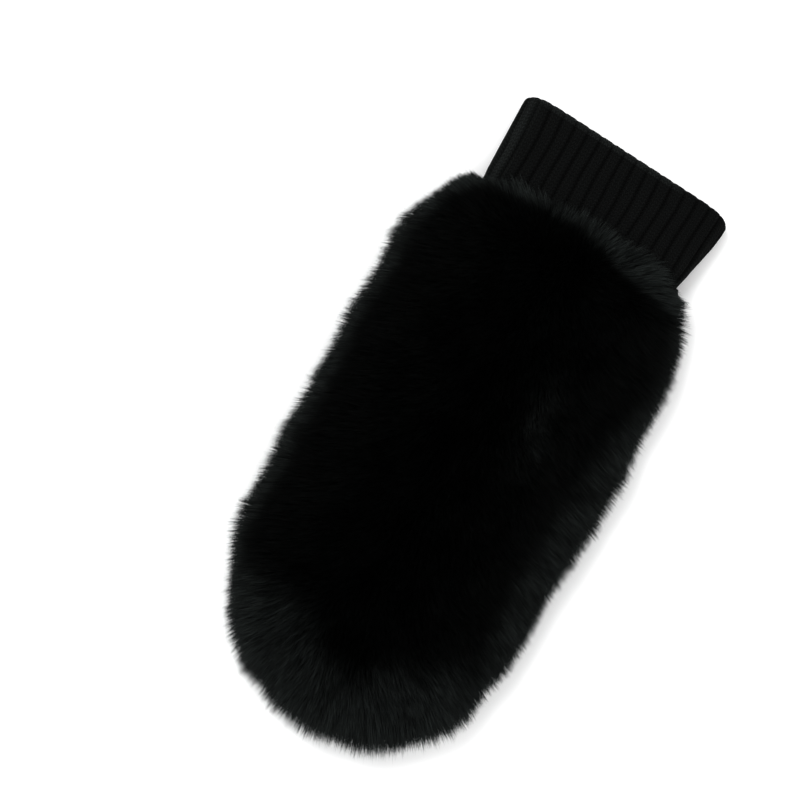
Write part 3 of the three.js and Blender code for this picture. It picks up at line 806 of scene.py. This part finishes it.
def make_felt(material):
    """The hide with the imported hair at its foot: one closed shell of inner face, felt and rims."""
    stations, columns = 110, 44
    t = np.linspace(0, 1, stations + 1)
    t = np.concatenate([t, t[-2::-1]])
    side = np.repeat([0, 1], [stations + 1, stations])
    c = np.linspace(0, 1, columns + 1)
    tt, cc = np.meshgrid(t, c, indexing="ij")
    ss = np.repeat(side[:, None], columns + 1, 1)
    inner = body(ss, tt, *section(HIDE_INNER, cc))
    root = root_point(ss, tt, cc)
    tip = tip_point(ss, tt, cc)
    depth = FELT_DEPTH + waves("felt", root[..., 0], root[..., 1])
    near_seam = ease(SEAM_Y - SEAM_ZONE, SEAM_Y, spine_at(tt)[..., 1])
    depth *= ease(*FELT_FROM_RIM, cc) * lerp(1, FELT_AT_COLLAR, near_seam)
    felt = lerp(root, tip, depth[..., None])
    rows = len(t)
    points = np.concatenate([felt.reshape(-1, 3), inner.reshape(-1, 3)])
    number = np.arange(2 * rows * (columns + 1)).reshape(2, rows, columns + 1)
    faces = [
        grid_faces(rows, columns + 1),
        grid_faces(rows, columns + 1, rows * (columns + 1), flip=True),
        join_loops(number[0, :, 0], number[1, :, 0]),
        join_loops(number[0, 0], number[1, 0]),
        join_loops(number[0, -1], number[1, -1]),
    ]
    piece = make_piece("fur_hide", points, np.concatenate(faces), "fur_back", material)
    mend(piece, join_points, turn_outwards)


# Knit
def rib(phase):
    """Depth from 0 to 1 across a two-by-two rib, two round wales and a groove. Whole numbers are crests."""
    off = np.abs(phase - np.round(phase)) * 2
    groove = ease(*GROOVE, off)
    between = BETWEEN_WALES * np.exp(-((off / BETWEEN_WALES) ** 2))
    return np.clip(groove + between * (1 - groove), 0, 1)


def cut(piece, cutter):
    """Cuts the cutter's shape out of a piece."""
    modifier = piece.modifiers.new("mouth", "BOOLEAN")
    modifier.operation = "DIFFERENCE"
    modifier.object = cutter
    modifier.solver = "EXACT"
    bpy.context.view_layer.update()
    bpy.context.view_layer.objects.active = piece
    with bpy.context.temp_override(object=piece, active_object=piece):
        bpy.ops.object.modifier_apply(modifier=modifier.name)


def mouth_cutter():
    """The oval through the palm and the top of the thumb, where the thumb opens into the hand."""
    bm = bmesh.new()
    ring = []
    sides = 48
    for k in range(sides):
        a = 2 * math.pi * k / sides
        x = THUMB_X + THUMB_MOUTH["half_width"] * math.cos(a) + SHIFT[0]
        y = THUMB_MOUTH["y"] + THUMB_MOUTH["half_length"] * math.sin(a) + SHIFT[1]
        ring.append(bm.verts.new((x * MM, y * MM, THUMB_MOUTH["from_z"] * MM)))
    face = bm.faces.new(ring)
    top = bmesh.ops.extrude_face_region(bm, geom=[face])["geom"]
    top = [v for v in top if isinstance(v, bmesh.types.BMVert)]
    bmesh.ops.translate(bm, vec=(0, 0, THUMB_MOUTH["height"] * MM), verts=top)
    bmesh.ops.recalc_face_normals(bm, faces=bm.faces)
    mesh = bpy.data.meshes.new("mouth_cutter")
    bm.to_mesh(mesh)
    bm.free()
    cutter = bpy.data.objects.new("mouth_cutter", mesh)
    bpy.context.scene.collection.objects.link(cutter)
    return cutter


def palm_grid(rows, columns):
    """The palm's underside as a (rows, columns) grid, with its stitch numbers."""
    t = np.linspace(0, 1, rows)
    u = np.linspace(0, 1, columns)
    tt, uu = np.meshgrid(t, u, indexing="ij")
    left = body(0, tt, np.full(tt.shape, PALM_EDGE), np.zeros(tt.shape))
    right = body(1, tt, np.full(tt.shape, PALM_EDGE), np.zeros(tt.shape))
    p = left + (right - left) * uu[..., None]
    width = np.linalg.norm((right - left)[..., :2], axis=-1)
    from_edge = np.minimum(uu, 1 - uu) * width
    from_edge = np.minimum(from_edge, (p[..., 1] - TIP[1]) * 0.7)
    roll = 1 - ease(0, PALM_EDGE_ROLL, from_edge)
    zone = (
        ease(PALM_RIB_Y, PALM_RIB_Y + PALM_RIB_FADE, p[..., 1])
        * ease(PALM_RIB_X[0] - PALM_RIB_SIDE_FADE, PALM_RIB_X[0], p[..., 0])
        * ease(PALM_RIB_X[1], PALM_RIB_X[1] - PALM_RIB_SIDE_FADE, p[..., 0])
    )
    depth = PALM_RIB_DEPTH * zone * rib(uu * PALM_RIBS)
    p[..., 2] = PALM_EDGE_UP * roll * roll + depth + lift(p[..., 0], p[..., 1])
    wales = np.stack([uu * WALES["palm"], (p[..., 1] + 130) / STITCH_HEIGHT], -1)
    return p, wales


def make_palm(material, cutter):
    fine, coarse = (230, 161), (60, 33)
    under, under_uv = palm_grid(*fine)
    over, over_uv = palm_grid(*coarse)
    over[..., 2] += KNIT_WALL
    points = np.concatenate([under.reshape(-1, 3), over.reshape(-1, 3)])
    uv = np.concatenate([under_uv.reshape(-1, 2), over_uv.reshape(-1, 2)])
    a = np.arange(fine[0] * fine[1]).reshape(fine)
    b = np.arange(coarse[0] * coarse[1]).reshape(coarse) + a.size
    faces = [grid_faces(*fine), grid_faces(*coarse, a.size, flip=True)]
    for line_a, line_b in ((a[0], b[0]), (a[-1], b[-1]), (a[:, 0], b[:, 0]), (a[:, -1], b[:, -1])):
        faces.append(join_loops(line_a, line_b))
    piece = make_piece("palm_knit", points, np.concatenate(faces), "palm", material)
    set_map(piece.data, "stitches", uv)
    set_values(piece.data, "wear_and_painted_light", PALM_WEAR * (1 + waves("palm_wear", points[:, 0], points[:, 1])))
    mend(piece, turn_outwards)
    cut(piece, cutter)


def thumb_rings(rings, sides, wall):
    """Rings of the thumb, wall deep under its outer face, with their stitch numbers."""
    curve = smooth_curve(np.stack([THUMB["y"], THUMB["half_width"]], 1), 500)
    rows = by_length(curve, np.linspace(0, 1, rings))
    height = np.interp(-rows[:, 0], -np.array(THUMB["y"], float), THUMB["height"])
    first, last = THUMB["y"][0], THUMB["y"][-1]
    y = lerp(first - wall, last + wall, (rows[:, 0] - first) / (last - first))
    a = np.linspace(0, 2 * np.pi, sides + 1)
    power = 2 / THUMB_SQUARENESS
    across = np.sign(np.cos(a)) * np.abs(np.cos(a)) ** power
    upward = np.sign(np.sin(a)) * np.abs(np.sin(a)) ** power
    half = np.maximum(1, rows[:, 1] - wall)[:, None]
    x = THUMB_X + half * across
    z = (height / 2)[:, None] + (height / 2 - wall)[:, None] * upward
    p = np.stack([x, np.broadcast_to(y[:, None], x.shape), z], -1)
    around = np.concatenate([[0], np.cumsum(np.hypot(np.diff(across) * 15, np.diff(upward) * 4.5))])
    wales = np.broadcast_to(around / around[-1] * WALES["thumb"], x.shape)
    return p, np.stack([wales, p[..., 1] / STITCH_HEIGHT], -1)


def make_thumb(material, cutter):
    parts, uvs, faces, start = [], [], [], 0
    for rings, sides, wall, flip in ((110, 96, 0.0, False), (30, 32, KNIT_WALL, True)):
        p, uv = thumb_rings(rings, sides, wall)
        first_end, last_end = (np.broadcast_to(end, (1, sides + 1, 3)) for end in p[[0, -1]].mean(1))
        p = np.concatenate([first_end, p, last_end])
        uv = np.concatenate([uv[:1], uv, uv[-1:]])
        parts.append(p.reshape(-1, 3))
        uvs.append(uv.reshape(-1, 2))
        faces.append(grid_faces(rings + 2, sides + 1, start, flip))
        start += len(parts[-1])
    points = np.concatenate(parts)
    piece = make_piece("thumb_knit", points, np.concatenate(faces), "thumb", material)
    set_map(piece.data, "stitches", np.concatenate(uvs))
    set_values(piece.data, "wear_and_painted_light", THUMB_WEAR * (1 + waves("thumb_wear", points[:, 0], points[:, 1])))
    mend(piece, join_points, drop_slivers)
    cut(piece, cutter)


def cuff_outline(half_width, height, shares):
    """Points and outward normals round a flattened tube's section, at shares of its length."""
    r = height / 2
    flat = half_width - r
    a = np.linspace(0, np.pi, 60)
    right = np.stack([flat + r * np.sin(a), r - r * np.cos(a)], 1)
    left = np.stack([-flat - r * np.sin(a), r + r * np.cos(a)], 1)
    curve = np.concatenate([[[0, 0]], right, left, [[0, 0]]])
    p = by_length(curve, shares)
    step = 0.004
    run = by_length(curve, (shares + step) % 1) - by_length(curve, (shares - step) % 1)
    run /= np.linalg.norm(run, axis=1)[:, None]
    return p, np.stack([run[:, 1], -run[:, 0]], 1)


def cuff_rings(y, wall, ribs_deep, per_rib):
    """Rings of the cuff at places y, wall deep under the ribs' crests, with stitch numbers and grooves."""
    count = CUFF_RIBS * per_rib
    shares = np.arange(count + 1) / count
    phase = shares * CUFF_RIBS
    rings, wales, grooves = [], [], []
    for ring_y, ring_wall in zip(y, np.broadcast_to(wall, len(y))):
        half_width = np.interp(ring_y, CUFF["y"], CUFF["half_width"])
        height = np.interp(ring_y, CUFF["y"], CUFF["height"])
        middle = np.interp(ring_y, CUFF["y"], CUFF["x"])
        turned = (CUFF_TURN + CUFF_TWIST * (ring_y - CUFF_END_Y)) / CUFF_RIBS
        p, normal = cuff_outline(half_width, height, (shares + turned) % 1)
        wander = CUFF_WANDER * np.sin(ring_y / CUFF_WANDER_LENGTH + 8 * np.pi * shares)
        groove = rib(phase - 0.125 + wander)
        p = p - normal * (ring_wall + ribs_deep * groove)[:, None]
        x = middle + p[:, 0]
        corner = CUFF_CORNER_DROP * np.abs(p[:, 0] / half_width) ** CUFF_CORNER_POWER
        further = -CUFF_SLANT * p[:, 0] - corner
        y_here = ring_y + further * ease(CUFF_SHAPED_FROM_Y, CUFF_END_Y, ring_y)
        rings.append(np.stack([x, y_here, p[:, 1]], 1))
        wales.append(np.stack([phase * 3 + 0.125, np.full(count + 1, ring_y / STITCH_HEIGHT)], 1))
        grooves.append(groove)
    return np.stack(rings), np.stack(wales), np.concatenate(grooves)


def make_cuff(material):
    """The cuff's outer face, its rounded rim and its inner face, one closed shell."""
    rim = CUFF_WALL / 2 - 0.2
    turn = np.linspace(0, np.pi, 9)[1:-1]
    outer_rings, inner_rings = 62, 24
    outer_y = np.linspace(CUFF["y"][0], CUFF_END_Y - rim, outer_rings)
    outer_y = np.concatenate([outer_y, CUFF_END_Y - rim + rim * np.sin(turn)])
    outer_wall = np.concatenate([np.zeros(outer_rings), rim * (1 - np.cos(turn))])
    outer, outer_uv, outer_grooves = cuff_rings(outer_y, outer_wall, CUFF_RIB_DEPTH, 12)
    inner_y = np.linspace(CUFF_END_Y - rim, CUFF["y"][0], inner_rings)
    inner, inner_uv, inner_grooves = cuff_rings(inner_y, CUFF_WALL, CUFF_RIB_DEPTH_INSIDE, 6)
    points = np.concatenate([outer.reshape(-1, 3), inner.reshape(-1, 3)])
    uv = np.concatenate([outer_uv.reshape(-1, 2), inner_uv.reshape(-1, 2)])
    a = np.arange(outer.shape[0] * outer.shape[1]).reshape(outer.shape[:2])
    b = np.arange(inner.shape[0] * inner.shape[1]).reshape(inner.shape[:2]) + a.size
    faces = [grid_faces(*a.shape), grid_faces(*b.shape, a.size)]
    faces += [join_loops(a[-1], b[0]), join_loops(b[-1], a[0])]
    piece = make_piece("cuff_knit", points, np.concatenate(faces), "cuff", material)
    set_map(piece.data, "stitches", uv)
    # Painted sheen along the mouth and the left fold, and painted shade in the rib grooves
    from_middle = points[:, 0] - CUFF["x"][-1]
    mouth = ease(*MOUTH_SHEEN_Y, points[:, 1] + CUFF_SLANT * from_middle) * ease(*MOUTH_SHEEN_X, from_middle)
    fold = np.exp(-(((from_middle - FOLD_SHEEN_X) / 3) ** 2))
    grooves = np.concatenate([outer_grooves, inner_grooves])
    set_values(piece.data, "wear_and_painted_light", np.maximum(mouth, FOLD_SHEEN * fold) - GROOVE_SHADE * grooves)
    mend(piece, join_points, turn_outwards)


# Stage
VIEW_ANGLE = math.radians(29)  # the mitten lies turned by this in the picture
VIEW_CENTRE = (-30.8, 2.5)
VIEW_WIDTH = 328.0  # of the mitten's plane, across the picture
VIEW_HEIGHT = 14.0
LENS = 110.0
SENSOR = 36.0
CAMERA_TILT = math.radians(1.5)
FLOOR_SIDE = 5.0  # metres
LIGHTS = {  # metres and watts
    "name": ["key", "fill"],
    "place": [(-0.75, 0.35, 1.3), (0.9, -0.2, 1.2)],
    "size": [0.7, 0.9],
    "watts": [9, 2],
}
SKY = 1.2
GAMMA = 0.75  # the picture's blacks are deep


def make_camera():
    data = bpy.data.cameras.new("camera")
    data.lens = LENS
    data.sensor_width = SENSOR
    data.clip_start = 0.05
    camera = bpy.data.objects.new("camera", data)
    bpy.context.scene.collection.objects.link(camera)
    distance = VIEW_WIDTH * LENS / SENSOR
    up = Vector((-math.sin(VIEW_ANGLE), math.cos(VIEW_ANGLE), 0))
    target = Vector((VIEW_CENTRE[0] + SHIFT[0], VIEW_CENTRE[1] + SHIFT[1], VIEW_HEIGHT)) * MM
    back = Vector((0, 0, 1)) * math.cos(CAMERA_TILT) - up * math.sin(CAMERA_TILT)
    camera.location = target + back * distance * MM
    camera.rotation_euler = (CAMERA_TILT, 0, VIEW_ANGLE)
    bpy.context.scene.camera = camera


def make_floor():
    mesh = bpy.data.meshes.new("floor")
    half = FLOOR_SIDE / 2
    corners = [(-half, -half, 0), (half, -half, 0), (half, half, 0), (-half, half, 0)]
    mesh.from_pydata(corners, [], [(0, 1, 2, 3)])
    n = Nodes("paper")
    n.shader.inputs["Base Color"].default_value = (0.95, 0.95, 0.95, 1)
    n.shader.inputs["Roughness"].default_value = 0.9
    n.shader.inputs["Specular IOR Level"].default_value = 0.1
    mesh.materials.append(n.material)
    floor = bpy.data.objects.new("floor", mesh)
    bpy.context.scene.collection.objects.link(floor)


def add_light(name, place, size, watts):
    data = bpy.data.lights.new(name, "AREA")
    data.shape = "DISK"
    data.size = size
    data.energy = watts
    light = bpy.data.objects.new(name, data)
    bpy.context.scene.collection.objects.link(light)
    light.location = place
    light.rotation_euler = (-Vector(place)).to_track_quat("-Z", "Y").to_euler()


def make_lights():
    for row in zip(*LIGHTS.values()):
        add_light(*row)
    world = bpy.data.worlds.new("studio")
    world.use_nodes = True
    world.node_tree.nodes["Background"].inputs["Color"].default_value = (1, 1, 1, 1)
    world.node_tree.nodes["Background"].inputs["Strength"].default_value = SKY
    bpy.context.scene.world = world
    bpy.context.scene.view_settings.view_transform = "Standard"
    bpy.context.scene.view_settings.gamma = GAMMA


make_camera()
make_floor()
make_lights()

make_felt(felt_material())
make_fur(hair_material())

mouth = mouth_cutter()
make_palm(knit_material("palm_knit", HAND_KNIT_LEVEL, 0.5), mouth)
make_thumb(knit_material("thumb_knit", HAND_KNIT_LEVEL, 0.5), mouth)
bpy.data.objects.remove(mouth)
make_cuff(knit_material("cuff_knit", CUFF_KNIT_LEVEL, 0.45))
